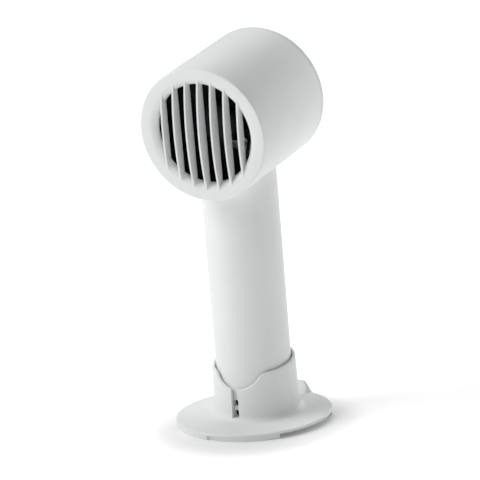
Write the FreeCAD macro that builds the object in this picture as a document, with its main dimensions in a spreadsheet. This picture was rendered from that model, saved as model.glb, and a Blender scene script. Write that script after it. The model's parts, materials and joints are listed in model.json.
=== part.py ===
"""Handheld electric fan: a round head on an upright handle, standing in a loose desk stand.

Millimetres.  +Z is up and the fan blows towards -Y.  The origin is on the ground, at the centre
of the stand's round plate.  Three local frames are used:
  STAND   the row frame itself,
  HANDLE  origin on the ground under the handle's axis, +Z up the handle,
  HEAD    origin where the head's axis crosses the handle's, +Z to the rear, +X right, +Y down.
"""
import FreeCAD, Part
import math
import os

import Sketcher

from FreeCAD import Placement, Rotation, Vector

os.makedirs("parts", exist_ok=True)
doc = FreeCAD.newDocument("handheld_fan")

# ---------------------------------------------------------------------------------- sizes
SIZES = {
    # stand
    "plate_radius": 34.7,
    "plate_under": 2.0,
    "plate_top": 3.2,
    "skirt_width": 2.8,
    "skirt_set_in": 0.3,
    "notch_depth": 1.2,
    "pad_radius": 3.5,
    "pad_circle": 24.0,
    "collar_foot_radius": 18.95,
    "collar_top_radius": 18.3,
    "collar_bore_radius": 17.15,
    "collar_height": 40.0,
    "collar_fillet": 3.2,
    "socket_floor": 2.6,
    "rim_low": 22.2,
    "rim_reach": 30.0,
    "rim_slope": 8.5,
    "dip_radius": 12.0,
    "dip_bottom": 17.7,
    "slit_width": 3.4,
    "slit_depth": 12.0,
    "slit_bottom": 4.7,
    "slit_bearing": -2.9,
    "lip_top": 8.5,
    "lip_half_width": 10.4,
    "lip_thickness": 1.3,
    # handle
    "axis_behind": 3.4,
    "handle_foot_radius": 16.6,
    "handle_top_radius": 16.95,
    "handle_wall": 1.7,
    "eyelet_width": 5.0,
    "eyelet_height": 2.7,
    "eyelet_low": 5.0,
    "eyelet_bar": 1.9,
    "foot_cap_thick": 2.0,
    # head
    "head_height": 138.1,
    "head_pitch": 5.9,
    "head_radius": 30.0,
    "head_front": 29.7,
    "head_rear": 29.4,
    "head_wall": 1.8,
    "bezel_edge": 1.2,
    "rear_cap_thick": 2.9,
    "neck_radius": 14.9,
    "neck_bottom": 98.0,
    # grille
    "opening_radius": 22.3,
    "mouth_round": 3.3,
    "bezel_wall": 1.6,
    "vane_pitch": 6.1,
    "vane_thick": 0.8,
    "vane_crown": 119.0,
    "vane_proud": 2.7,
    "vane_back": 3.6,
    "grille_turn": 3.1,
    # fan and motor
    "duct_radius": 25.6,
    "duct_bore": 24.4,
    "duct_nose": 25.3,
    "duct_front": 20.4,
    "duct_rear": 16.0,
    "blade_tip": 23.6,
    "hub_radius": 9.0,
    "hub_front": 16.5,
    "hub_length": 12.0,
    "blade_pitch": 34.0,
    "blade_thick": 1.0,
    "shaft_radius": 1.0,
    "can_radius": 10.2,
    "can_front": -1.5,
    "can_length": 18.0,
    "cup_wall": 1.4,
    # power and control
    "cell_radius": 9.1,
    "cell_length": 65.0,
    "cell_bottom": 17.5,
    "cell_forward": 4.6,
    "board_back": 8.0,
    "board_thick": 1.2,
    "board_width": 17.0,
    "board_bottom": 33.0,
    "board_top": 94.0,
    "button_height": 86.0,
    "button_radius": 4.6,
    "button_gap": 0.15,
    "button_proud": 0.7,
    "port_height": 42.0,
    "lamp_height": 73.0,
    "lamp_pitch": 3.6,
}
sheet = doc.addObject("Spreadsheet::Sheet", "sizes")
for row, (alias, value) in enumerate(SIZES.items(), start=1):
    sheet.set(f"A{row}", alias.replace("_", " "))
    sheet.set(f"B{row}", str(value))
    sheet.setAlias(f"B{row}", alias)
doc.recompute()


def size(alias):
    return float(getattr(sheet, alias))


def linked(expression):
    """The same expression with every sheet alias written as sizes.alias."""
    text = str(expression)
    for alias in sorted(SIZES, key=len, reverse=True):
        text = text.replace(alias, "@" + str(list(SIZES).index(alias)) + "@")
    for index, alias in enumerate(SIZES):
        text = text.replace(f"@{index}@", "sizes." + alias)
    return text


def worth(expression):
    """The number that an expression of aliases comes to."""
    return float(sheet.evalExpression(linked(expression).replace("sizes.", "")))


# ---------------------------------------------------------------------------------- frames
STAND = Placement()
HANDLE = Placement(Vector(0, size("axis_behind"), 0), Rotation())
HEAD_TURN = Rotation(Vector(1, 0, 0), size("head_pitch") - 90)
HEAD_IN_HANDLE = Placement(Vector(0, 0, size("head_height")), HEAD_TURN)
HEAD = HANDLE.multiply(HEAD_IN_HANDLE)
BACK = Rotation(Vector(1, 0, 0), -90)
NODES = []


def freed(obj):
    """Settles a primitive where its expressions put it, so that it can be turned as well."""
    doc.recompute()
    for axis in "xyz":
        if any(path == ".Placement.Base." + axis or path == "Placement.Base." + axis
               for path, expression in obj.ExpressionEngine):
            obj.setExpression("Placement.Base." + axis, None)
    return obj


def turned(obj, bearing):
    """Turns a placed primitive about its frame's Z axis."""
    freed(obj)
    obj.Placement = Placement(Vector(), Rotation(Vector(0, 0, 1), bearing)).multiply(obj.Placement)
    return obj


def node(obj, label, frame):
    obj.Label = label
    freed(obj)
    obj.Placement = frame.multiply(obj.Placement)
    NODES.append(obj)
    return obj


# ---------------------------------------------------------------------------------- helpers
def bind(obj, **expressions):
    for prop, expression in expressions.items():
        obj.setExpression(prop.replace("_", "."), linked(expression))


def place(obj, x=0, y=0, z=0, turn=None):
    """Puts a primitive, with each coordinate bound to the sheet."""
    obj.Placement = Placement(Vector(), turn or Rotation())
    for axis, expression in (("x", x), ("y", y), ("z", z)):
        obj.setExpression("Placement.Base." + axis, linked(expression))
    return obj


def cylinder(radius, height, x=0, y=0, z=0, turn=None):
    obj = doc.addObject("Part::Cylinder", "cylinder")
    bind(obj, Radius=radius, Height=height)
    return place(obj, x, y, z, turn)


def cone(low_radius, high_radius, height, x=0, y=0, z=0):
    obj = doc.addObject("Part::Cone", "cone")
    bind(obj, Radius1=low_radius, Radius2=high_radius, Height=height)
    return place(obj, x, y, z)


def box(length, width, height, x=0, y=0, z=0, turn=None):
    """A box centred on x and y, standing on z."""
    obj = doc.addObject("Part::Box", "box")
    bind(obj, Length=length, Width=width, Height=height)
    if turn:
        return place(obj, x, y, z, turn)
    return place(obj, f"{x} - ({length}) / 2", f"{y} - ({width}) / 2", z)


def ball(radius, z):
    """A ball on the Z axis, whose poles and seam lie away from its lowest point."""
    obj = doc.addObject("Part::Sphere", "ball")
    bind(obj, Radius=radius)
    return place(obj, z=z, turn=Rotation(Vector(0, 1, 0), -90))


def fuse(*shapes):
    if len(shapes) == 2:
        obj = doc.addObject("Part::Fuse", "fuse")
        obj.Base, obj.Tool = shapes
    else:
        obj = doc.addObject("Part::MultiFuse", "fuse")
        obj.Shapes = list(shapes)
    obj.Refine = True
    return obj


def cut(base, *tools):
    obj = doc.addObject("Part::Cut", "cut")
    obj.Base = base
    obj.Tool = fuse(*tools) if len(tools) > 1 else tools[0]
    obj.Refine = True
    return obj


def common(*shapes):
    obj = doc.addObject("Part::MultiCommon", "common")
    obj.Shapes = list(shapes)
    return obj


def tube(outer, inner, height, z=0, turn=None, x=0, y=0):
    return cut(cylinder(outer, height, x, y, z, turn), cylinder(inner, height, x, y, z, turn))


def rounded(base, radius, pick):
    """Rounds the edges of base that pick(edge) accepts."""
    doc.recompute()
    obj = doc.addObject("Part::Fillet", "fillet")
    obj.Base = base
    chosen = [n for n, edge in enumerate(base.Shape.Edges, start=1) if pick(edge)]
    obj.Edges = [(n, worth(radius), worth(radius)) for n in chosen]
    doc.recompute()
    if obj.Shape.isNull() or not obj.Shape.isValid():
        raise RuntimeError(f"the rounding of {base.Name} failed on {len(chosen)} edges")
    return obj


def shaped(shape):
    """A feature whose shape is computed here, from sizes read off the sheet."""
    obj = doc.addObject("Part::Feature", "shape")
    obj.Shape = shape
    return obj


def plane_of(body, role):
    return next(item for item in body.Origin.OriginFeatures if item.Role == role)


def outline(body, role, points):
    """A closed sketch of lines and arcs.

    Each point is (x, y) or (x, y, radius): with a radius, the side that leaves the point is an
    arc of that size.  On an outline that runs counter-clockwise, a positive radius bulges out
    and a negative one bulges in.
    """
    sketch = body.newObject("Sketcher::SketchObject", "outline")
    sketch.AttachmentSupport = [(plane_of(body, role), "")]
    sketch.MapMode = "FlatFace"
    spots = [Vector(worth(p[0]), worth(p[1]), 0) for p in points]
    ends = []
    for index, point in enumerate(points):
        start = spots[index]
        finish = spots[(index + 1) % len(points)]
        if len(point) == 2:
            geo = sketch.addGeometry(Part.LineSegment(start, finish), False)
            ends.append((geo, 1, 2))
            continue
        radius = abs(worth(point[2]))
        side = 1 if worth(point[2]) > 0 else -1
        way = finish - start
        outward = Vector(way.y, -way.x, 0).normalize() * side
        rise = radius - math.sqrt(radius**2 - way.Length**2 / 4)
        middle = (start + finish) * 0.5 + outward * rise
        geo = sketch.addGeometry(Part.Arc(start, middle, finish), False)
        first, last = (1, 2) if (sketch.getPoint(geo, 1) - start).Length < 1e-6 else (2, 1)
        ends.append((geo, first, last))
    for index, (geo, first, last) in enumerate(ends):
        following = ends[(index + 1) % len(ends)]
        sketch.addConstraint(Sketcher.Constraint("Coincident", geo, last, following[0], following[1]))
    for index, (geo, first, last) in enumerate(ends):
        point = points[index]
        for kind, expression, value in (
            ("DistanceX", point[0], spots[index].x),
            ("DistanceY", point[1], spots[index].y),
        ):
            number = sketch.addConstraint(Sketcher.Constraint(kind, -1, 1, geo, first, value))
            sketch.setExpression(f"Constraints[{number}]", linked(expression))
        if len(point) == 3:
            radius = abs(worth(point[2]))
            number = sketch.addConstraint(Sketcher.Constraint("Radius", geo, radius))
            sketch.setExpression(f"Constraints[{number}]", linked(f"abs({point[2]})"))
    return sketch


def new_body():
    return doc.addObject("PartDesign::Body", "body")


def revolved(points):
    """A body turned about its own Z axis from an outline of (radius, height) points."""
    body = new_body()
    sketch = outline(body, "XZ_Plane", points)
    turn = body.newObject("PartDesign::Revolution", "turn")
    turn.Profile = sketch
    turn.ReferenceAxis = (sketch, ["V_Axis"])
    turn.Angle = 360
    doc.recompute()
    return body


def padded(points, thickness, role="XY_Plane"):
    """A body of even thickness, centred on its sketch plane."""
    body = new_body()
    sketch = outline(body, role, points)
    pad = body.newObject("PartDesign::Pad", "pad")
    pad.Profile = sketch
    pad.SideType = "Symmetric"
    pad.setExpression("Length", linked(thickness))
    doc.recompute()
    return body


def moved(obj, x=0, y=0, z=0, turn=None):
    """Places a finished body or feature within its frame."""
    freed(obj)
    obj.Placement = Placement(Vector(x, y, z), turn or Rotation()).multiply(obj.Placement)
    return obj


def polar(radius, bearing):
    angle = math.radians(bearing)
    return radius * math.cos(angle), radius * math.sin(angle)


# ---------------------------------------------------------------------------------- the stand
def bearing_wedge(first, last):
    """The space under the plate from one bearing to another; 0 is the front, -Y."""
    low = -1
    reach = 2 * size("plate_radius")
    points = [Vector(0, 0, low)]
    steps = max(2, int(abs(last - first) / 15))
    for n in range(steps + 1):
        angle = math.radians(first + (last - first) * n / steps)
        points.append(Vector(reach * math.sin(angle), -reach * math.cos(angle), low))
    points.append(points[0])
    return Part.Face(Part.makePolygon(points)).extrude(Vector(0, 0, size("plate_under") - low))


SKIRT_GAPS = ((46, 112), (-112, -46))
NOTCH = (-10, -2.2)


def stand_base():
    axis = "axis_behind"
    plate = cylinder("plate_radius", "plate_top - plate_under", z="plate_under")
    collar = cone("collar_foot_radius", "collar_top_radius", "collar_height", y=axis)
    collar = cut(collar, box("3 * rim_reach", "3 * rim_reach", "plate_under"))
    plate = fuse(plate, collar)
    foot = rounded(plate, "collar_fillet",
                   lambda e: is_ring(e, size("plate_top"), size("collar_foot_radius") + 1))
    # the rim falls towards the front, and dips in a round notch at the very front
    slope = Rotation(Vector(1, 0, 0), size("rim_slope"))
    front = "axis_behind - rim_reach"
    above = box("3 * rim_reach", "3 * rim_reach", "collar_height", "0 - 1.5 * rim_reach", front,
                "rim_low", slope)
    dip = cylinder("dip_radius", "rim_reach", 0, front, "dip_bottom + dip_radius", BACK)
    opened = cut(foot, above, dip)
    slit = turned(box("slit_width", "slit_depth", "collar_height", 0, "0 - collar_top_radius",
                      "slit_bottom"), size("slit_bearing"))
    slit = moved(slit, y=size("axis_behind"))
    socket = cylinder("collar_bore_radius", "collar_height", y=axis, z="socket_floor")
    opened = cut(opened, socket, slit)
    skirt = tube("plate_radius - skirt_set_in", "plate_radius - skirt_set_in - skirt_width",
                 "plate_under")
    gaps = [shaped(bearing_wedge(first, last)) for first, last in SKIRT_GAPS]
    notch = cut(shaped(bearing_wedge(*NOTCH)),
                cylinder("plate_radius - notch_depth", "3 * plate_under", z="0 - 2 * plate_under"))
    skirt = cut(skirt, notch, *gaps)
    return fuse(opened, skirt, rear_lip())


def is_ring(edge, height, largest):
    """Whether an edge lies level at a height, within a radius of the handle's axis."""
    bounds = edge.BoundBox
    level = abs(bounds.ZMin - height) < 0.01 and abs(bounds.ZMax - height) < 0.01
    return level and bounds.XMax < largest


def rear_lip():
    """The brim bends up at the back into a short upright lip, which slopes out as it rises."""
    body = revolved([
        ("plate_radius - 5.0", "plate_under"),
        ("plate_radius", "plate_under"),
        ("plate_radius", "lip_top - 0.6", "0.62"),
        ("plate_radius - 0.6", "lip_top"),
        ("plate_radius - lip_thickness + 0.2", "lip_top", "0 - 6.0"),
        ("plate_radius - 5.0", "plate_top"),
    ])
    half = "lip_half_width"
    face = padded([
        (f"0 - {half} - 3.4", "plate_under"),
        (f"{half} + 3.4", "plate_under"),
        (f"{half} + 3.4", "plate_top", "-3.2"),
        (f"{half} + 0.6", "plate_top + 1.7"),
        (f"{half} - 0.7", "lip_top - 2.2", "3.2"),
        (f"{half} - 3.4", "lip_top - 0.35", "60"),
        (f"0 - {half} + 3.4", "lip_top - 0.35", "3.2"),
        (f"0 - {half} + 0.7", "lip_top - 2.2"),
        (f"0 - {half} - 0.6", "plate_top + 1.7", "-3.2"),
        (f"0 - {half} - 3.4", "plate_top"),
    ], "20", "XZ_Plane")
    moved(face, y=size("plate_radius") - 2)
    return common(body, face)


def stand_pads():
    pads = []
    for bearing in (45, 135, 225, 315):
        x, y = polar(size("pad_circle"), bearing)
        pads.append(cylinder("pad_radius", "plate_under", x, y))
    return fuse(*pads)


node(stand_base(), "stand_base", STAND)
node(stand_pads(), "stand_pads", STAND)


# ---------------------------------------------------------------------------------- the handle
def head_drum(radius, first, last):
    """A cylinder on the head's axis, in the handle's frame."""
    obj = freed(cylinder(radius, f"({last}) - ({first})"))
    obj.Placement = HEAD_IN_HANDLE.multiply(Placement(Vector(0, 0, worth(first)), Rotation()))
    return obj


def handle_shell():
    tall = "head_height - socket_floor"
    outer = cone("handle_foot_radius", "handle_top_radius", tall, z="socket_floor")
    inner = cone("handle_foot_radius - handle_wall", "handle_top_radius - handle_wall", tall,
                 z="socket_floor")
    body = cut(outer, inner)
    eyelets = [box("eyelet_width", 8, "eyelet_height", y="0 - handle_foot_radius", z=z)
               for z in ("eyelet_low", "eyelet_low + eyelet_height + eyelet_bar")]
    button = cylinder("button_radius + button_gap", 10, 0, 10, "button_height", BACK)
    port = port_block("4.75", "1.85", 10, 10)
    lamps = [cylinder("0.9", 10, f"{n} * lamp_pitch", 10, "lamp_height", BACK) for n in (-1, 0, 1)]
    return cut(body, head_drum("head_radius + 0.02", "-40", "40"), button, port, *eyelets, *lamps)


def port_block(half_width, half_height, start, length):
    """A level flat-sided block with round ends, pointing to the back at the charge port."""
    flat = f"({half_width} - {half_height})"
    end = f"{half_height} + 0.0001"
    body = padded([
        (f"0 - {flat}", f"0 - {half_height}"),
        (flat, f"0 - {half_height}", end),
        (flat, half_height),
        (f"0 - {flat}", half_height, end),
    ], str(length), "XZ_Plane")
    return moved(body, y=start + length / 2, z=size("port_height"))


def foot_cap():
    """The plug in the handle's foot; its upper part is a dark cup behind the strap eyelet."""
    top = "handle_foot_radius - handle_wall"
    cap = cylinder(f"{top} - 0.05", "foot_cap_thick", z="socket_floor")
    skirt = cut(cylinder(f"{top} - 0.05", 12, z="socket_floor"),
                cylinder(f"{top} - 1.6", 10.6, z="socket_floor + foot_cap_thick"),
                box("eyelet_width + 2", 8, 9, y="0 - handle_foot_radius", z="eyelet_low - 0.3"))
    return fuse(cap, skirt)


def battery_cell():
    body = cylinder("cell_radius", "cell_length", y="0 - cell_forward", z="cell_bottom")
    tip = cylinder(3.2, 1.0, y="0 - cell_forward", z="cell_bottom + cell_length")
    return fuse(rounded(body, 0.8, lambda e: len(e.Vertexes) == 1), tip)


def battery_washer():
    return tube("cell_radius", 4.2, 0.4, "cell_bottom + cell_length", None, 0, "0 - cell_forward")


SPINE = "cell_radius - cell_forward + 1.7"
BOARD_HOLES = ((5.8, "board_bottom + 2.5"), (-5.8, "board_bottom + 2.5"))


def battery_tabs():
    """Nickel strips from the cell's ends to the board."""
    base = "cell_bottom - 0.3"
    riser = "cell_radius - cell_forward + 0.45"
    low = fuse(box(5, 12, 0.3, y="0 - cell_forward + 3.5", z=base),
               box(5, 0.3, "board_bottom + 0.9 - cell_bottom + 0.3", y=riser, z=base),
               box(5, f"board_back - ({riser}) + 0.15", 0.3,
                   y=f"(board_back + ({riser}) - 0.15) / 2", z="board_bottom + 0.6"))
    high = box(5, "board_back + 7", 0.3, y="(board_back - 7) / 2",
               z="cell_bottom + cell_length + 1")
    return low, high


def carrier():
    """The tray that holds the cell in front and the board behind."""
    reach = "handle_foot_radius - handle_wall - 0.3"
    low = "cell_bottom - 2.2"
    floor = cylinder(reach, 1.9, z=low)
    roof = cylinder(reach, 1.6, z="cell_bottom + cell_length + 1.3")
    roof = cut(roof, cylinder(4.5, 4, z="cell_bottom + cell_length + 1", y=-6))
    tall = "cell_length + 5.1"
    rails = fuse(box(2.0, 5.4, tall, 9.0, 7.9, low), box(2.0, 5.4, tall, -9.0, 7.9, low))
    spine = box("board_width + 4", 1.0, "cell_length", 0, SPINE, "cell_bottom - 1")
    bosses = [cylinder(2.0, f"board_back - ({SPINE})", x, SPINE, z, BACK) for x, z in BOARD_HOLES]
    slot = box("board_width + 0.2", 1.5, 80, 0, "board_back + board_thick / 2 + 0.15",
               "board_bottom")
    button_way = box("board_width + 6", 12, 20, 0, "board_back + 5", "cell_bottom + cell_length")
    pilots = [cylinder(0.97, 9, x, "board_back - 5", z, BACK) for x, z in BOARD_HOLES]
    tab_way = box(6, 3, 1.5, 0, SPINE, "board_bottom")
    return cut(fuse(floor, roof, rails, spine, *bosses), slot, button_way, tab_way, *pilots)


node(handle_shell(), "handle_shell", HANDLE)
node(foot_cap(), "foot_cap", HANDLE)
node(battery_cell(), "battery_cell", HANDLE)
node(battery_washer(), "battery_washer", HANDLE)
tab_low, tab_high = battery_tabs()
node(tab_low, "battery_tab_low", HANDLE)
node(tab_high, "battery_tab_high", HANDLE)
node(carrier(), "battery_carrier", HANDLE)


# ---------------------------------------------------------------------------------- the board
FACE = "board_back + board_thick"


def on_board(length, height, stand_off, x, z, y=FACE):
    """A block soldered to the board's rear face; its face centre is at x, z."""
    return box(length, stand_off, height, x, f"{y} + {stand_off} / 2", f"{z} - ({height}) / 2")


def control_board():
    slab = box("board_width", "board_thick", "board_top - board_bottom", 0,
               "board_back + board_thick / 2", "board_bottom")
    holes = [cylinder(1.1, 6, x, "board_back - 2", z, BACK) for x, z in BOARD_HOLES]
    return cut(slab, *holes)


def board_parts():
    chips = [
        on_board(5.0, 5.0, 1.2, -3.5, 55.0),
        on_board(3.0, 3.0, 1.0, 4.5, 50.5),
        on_board(4.0, 4.0, 2.0, 4.0, 59.5),
        on_board(3.2, 1.6, 0.8, -3.0, 49.5),
        on_board(1.6, 3.2, 0.8, -6.5, 62.0),
        on_board(1.6, 3.2, 0.8, 6.5, 67.0),
        on_board(2.0, 1.2, 0.6, 0.0, 66.5),
    ]
    return fuse(*chips)


def tact_switch():
    case = on_board(6, 6, 3.2, 0, "button_height")
    well = cylinder(1.8, 2.6, 0, f"{FACE} + 0.6", "button_height", BACK)
    return cut(case, well)


def power_button():
    """The round key, held behind the wall by a thin flange and standing a little proud of it."""
    crown = "handle_top_radius - 0.13 + button_proud"
    key = cylinder("button_radius", 8, 0, 10, "button_height", BACK)
    dome = cylinder(crown, 20, z="button_height - 10")
    key = common(key, dome)
    flange = common(cylinder("button_radius + 1.2", 0.9, 0, f"{FACE} + 4", "button_height", BACK),
                    cylinder("handle_foot_radius - handle_wall - 0.5", 20, z="button_height - 10"))
    key = cut(key, cylinder(20, 9, 0, f"{FACE} - 5", "button_height", BACK))
    nib = cylinder(1.4, 0.5, 0, f"{FACE} + 3.75", "button_height", BACK)
    return fuse(key, flange, nib)


def switch_plunger():
    return cylinder(1.7, 2.5, 0, f"{FACE} + 1.25", "button_height", BACK)


def indicator_lamps():
    return fuse(*[on_board(1.6, 0.8, 0.6, f"{n} * lamp_pitch", "lamp_height") for n in (-1, 0, 1)])


def light_pipe():
    """Three clear rods on one bar, which carry the lamps' light out through the wall."""
    bar = on_board(9.6, 2.2, 1.0, 0, "lamp_height", f"{FACE} + 1.4")
    rods = [cylinder(0.8, 6, f"{n} * lamp_pitch", f"{FACE} + 1.6", "lamp_height", BACK)
            for n in (-1, 0, 1)]
    return common(fuse(bar, *rods), cylinder("handle_top_radius - 0.12", 20, z="lamp_height - 10"))


def charge_port():
    depth = 6.6
    start = worth(FACE)
    shell = port_block("4.47", "1.63", start, depth)
    return cut(shell, port_block("4.15", "1.31", start + 0.6, depth))


def port_tongue():
    return box(6.6, 4.6, 0.7, 0, f"{FACE} + 0.6 + 2.3", "port_height - 0.35")


def screw(radius, head_radius, length, head):
    """A pan-head screw along +Z, with its head's seat at the origin and a cross recess."""
    shank = cylinder(radius, length, z=f"0 - {length}")
    cap = cylinder(head_radius, head)
    slots = [box(*sizes, 2, z=f"{head} * 0.4") for sizes in ((head_radius * 1.2, 0.4),
                                                             (0.4, head_radius * 1.2))]
    return cut(fuse(shank, cap), *slots)


def board_screws():
    made = [moved(screw(0.95, 1.8, 3.4, 1.0), x, worth(FACE), worth(z), BACK)
            for x, z in BOARD_HOLES]
    return fuse(*made)


for maker in (control_board, board_parts, tact_switch, switch_plunger, power_button,
              indicator_lamps, light_pipe, charge_port, port_tongue, board_screws):
    node(maker(), maker.__name__, HANDLE)


# ---------------------------------------------------------------------------------- the head
def head_shell():
    """The drum, with the neck under it that plugs into the handle."""
    front = "bezel_edge - head_front"
    rear = "head_rear - rear_cap_thick"
    neck = cylinder("neck_radius", "head_height - 20 - neck_bottom", z="neck_bottom")
    body = fuse(head_drum("head_radius", front, rear), neck)
    hollow = head_drum("head_radius - head_wall", front + " - 1", rear + " + 1")
    well = cylinder("neck_radius - 2.2", 6, z="neck_bottom")
    way = cylinder(8.0, 30, y=2.5, z="neck_bottom")
    return cut(body, hollow, well, way)


def front_grille():
    """A bezel whose mouth is rounded over, and seven upright vanes crowned like a shallow dome."""
    face = "0 - head_front"
    skin = "head_radius - head_wall - 0.05"
    bezel = revolved([
        ("opening_radius", f"{face} + vane_back"),
        ("opening_radius", f"{face} + mouth_round", "mouth_round"),
        ("opening_radius + mouth_round", face),
        ("head_radius - 0.6", face, "0.6"),
        ("head_radius - 0.02", f"{face} + 0.58"),
        ("head_radius - 0.02", f"{face} + bezel_edge"),
        (skin, f"{face} + bezel_edge"),
        (skin, f"{face} + 6.5"),
        (f"{skin} - 1.4", f"{face} + 6.5"),
        (f"{skin} - 1.4", f"{face} + bezel_wall"),
        ("opening_radius + mouth_round", f"{face} + bezel_wall", "bezel_wall - mouth_round"),
        ("opening_radius + bezel_wall", f"{face} + mouth_round"),
        ("opening_radius + bezel_wall", f"{face} + vane_back"),
    ])
    apex = f"{face} - vane_proud"
    crown = ball("vane_crown", f"{apex} + vane_crown")
    depth = "1 + vane_proud + vane_back"
    reach = cylinder("opening_radius + mouth_round + 0.3", depth, z=f"{apex} - 1")
    vanes = [box("vane_thick", "2 * head_radius", depth, f"{n} * vane_pitch", 0, f"{apex} - 1")
             for n in range(-3, 4)]
    within = common(fuse(*vanes), common(crown, reach))
    # the vanes end inside the bezel's wall
    behind = revolved([
        ("opening_radius + bezel_wall / 2", f"{face} + vane_back + 1"),
        ("opening_radius + bezel_wall / 2", f"{face} + mouth_round", "mouth_round - bezel_wall / 2"),
        ("opening_radius + mouth_round", f"{face} + bezel_wall / 2"),
        ("head_radius", f"{face} + bezel_wall / 2"),
        ("head_radius", f"{face} + vane_back + 1"),
    ])
    return fuse(bezel, cut(within, behind))


def rear_grille():
    """The intake cover: rings and spokes inside a rounded rim."""
    start = "head_rear - rear_cap_thick"
    skin = "head_radius - head_wall - 0.05"
    rim = revolved([
        ("head_radius - 5.2", start),
        (f"{skin} - 1.25", start),
        (f"{skin} - 1.25", f"{start} - 3"),
        (skin, f"{start} - 3"),
        (skin, start),
        ("head_radius", start),
        ("head_radius", "head_rear - 1.2", "1.2001"),
        ("head_radius - 1.2", "head_rear"),
        ("head_radius - 5.2", "head_rear"),
    ])
    thick = 1.8
    base = f"head_rear - {thick}"
    rings = [tube(radius + 0.7, radius - 0.7, thick, base) for radius in (10.5, 14.2, 17.9, 21.6)]
    boss = cylinder(7.4, thick, z=base)
    spokes = [turned(box(19.5, 1.3, thick, 15.4, 0, base), bearing)
              for bearing in range(0, 360, 30)]
    return fuse(rim, boss, *rings, *spokes)


def duct():
    """The duct round the blades, with three struts to the motor's cup and a flange at its back."""
    wall = tube("duct_radius", "duct_bore", "duct_nose + duct_rear", "0 - duct_nose")
    lip = tube("head_radius - head_wall - 0.1", "duct_bore", 1.2, "0 - duct_front")
    flange = tube("head_radius - head_wall - 0.1", "duct_bore", 1.6, "duct_rear - 1.6")
    cup_start = "can_front - 1.4"
    cup = cut(cylinder("can_radius + cup_wall", 12, z=cup_start),
              cylinder("can_radius + 0.05", 12, z="can_front"),
              cylinder(3.6, 10, z=f"{cup_start} - 1"))
    holes = [cylinder(1.15, 6, x, 0, f"{cup_start} - 1") for x in (6.5, -6.5)]
    struts = [turned(box(14.2, 1.6, 9, 18.0, 0, "can_front + 0.5"), bearing)
              for bearing in (30, 150, 270)]
    lead_way = box(12, 8, "duct_rear + 4", 0, 25.5, "0 - 2.5")
    return cut(fuse(wall, lip, flange, cup, *struts), lead_way, *holes)


def blade(bearing):
    """One twisted blade, lofted from three flat sections between the hub and the tip."""
    hub, tip = size("hub_radius") - 0.6, size("blade_tip")
    middle = -size("hub_front") + size("hub_length") / 2
    thick = size("blade_thick")
    sections = []
    for share in (0.0, 0.5, 1.0):
        radius = hub + (tip - hub) * share
        pitch = math.radians(size("blade_pitch") + 16 - 26 * share)
        half = 5.4 + 1.6 * share
        along = Vector(0, math.cos(pitch), math.sin(pitch))
        across = Vector(0, -math.sin(pitch), math.cos(pitch)) * (thick / 2)
        centre = Vector(radius, 0, middle)
        bow = across * 1.6
        lower = [centre - along * half, centre - across + bow, centre + along * half]
        upper = [centre + along * half + across * 0.4, centre + across + bow,
                 centre - along * half + across * 0.4]
        edges = [Part.Arc(*lower).toShape(), Part.LineSegment(lower[2], upper[0]).toShape(),
                 Part.Arc(*upper).toShape(), Part.LineSegment(upper[2], lower[0]).toShape()]
        sections.append(Part.Wire(edges))
    solid = Part.makeLoft(sections, True, False)
    solid.rotate(Vector(), Vector(0, 0, 1), bearing)
    return solid


def impeller():
    front = "0 - hub_front"
    hub = revolved([
        (0, front),
        ("hub_radius - 2.5", front, "2.6"),
        ("hub_radius", f"{front} + 2.4"),
        ("hub_radius", f"{front} + hub_length"),
        ("hub_radius - 1.2", f"{front} + hub_length"),
        ("hub_radius - 1.2", f"{front} + 3"),
        (3.0, f"{front} + 3"),
        (3.0, f"{front} + hub_length - 1"),
        ("shaft_radius + 0.01", f"{front} + hub_length - 1"),
        ("shaft_radius + 0.01", f"{front} + 2"),
        (0, f"{front} + 2"),
    ])
    blades = [shaped(blade(bearing)) for bearing in range(0, 360, 72)]
    reach = cut(cylinder("blade_tip", "hub_length + 4", z=f"{front} - 2"),
                cylinder("hub_radius - 0.8", "hub_length + 4", z=f"{front} - 2"))
    return fuse(hub, common(fuse(*blades), reach))


for maker, label, frame in ((head_shell, "head_shell", HANDLE), (rear_grille, "rear_grille", HEAD),
                            (duct, "fan_duct", HEAD), (impeller, "impeller", HEAD)):
    node(maker(), label, frame)
TURNED = Placement(Vector(), Rotation(Vector(0, 0, 1), size("grille_turn")))
node(front_grille(), "front_grille", HEAD.multiply(TURNED))


# ---------------------------------------------------------------------------------- the motor
CAN_END = "can_front + can_length"


def motor_can():
    front = "can_front"
    return revolved([
        (3.2, front),
        ("can_radius - 1", front, "1.0001"),
        ("can_radius", f"{front} + 1"),
        ("can_radius", f"{CAN_END} - 0.01"),
        ("can_radius - 0.8", f"{CAN_END} - 0.01"),
        ("can_radius - 0.8", f"{front} + 0.8"),
        (3.2, f"{front} + 0.8"),
    ])


def motor_magnets():
    ring = tube("can_radius - 0.85", "can_radius - 2.4", 10, "can_front + 2.5")
    gaps = box(6, 30, 12, z="can_front + 2")
    return cut(ring, gaps)


def motor_bushes():
    seat = 3.15
    return fuse(tube(seat, "shaft_radius + 0.03", 1.8, "can_front - 0.4"),
                tube(2.4, "shaft_radius + 0.03", 1.8, f"{CAN_END} - 0.4"))


def motor_shaft():
    return cylinder("shaft_radius", "hub_front - 2.1 + can_front + can_length + 1.8",
                    z="2.1 - hub_front")


POLES = (0, 120, 240)


def armature_core():
    """Three lamination poles with wide feet."""
    core = cylinder(3.0, 8, z="can_front + 3.5")
    shoes = tube(7.4, 6.4, 8, "can_front + 3.5")
    poles = [turned(box(5, 2, 8, 4.4, 0, "can_front + 3.5"), bearing) for bearing in POLES]
    gaps = [turned(box(4, 1.6, 8, 7, 0, "can_front + 3.5"), bearing + 60) for bearing in POLES]
    whole = fuse(core, shoes, *poles)
    bore = cylinder("shaft_radius + 0.01", 10, z="can_front + 3")
    return cut(whole, bore, *gaps)


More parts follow.
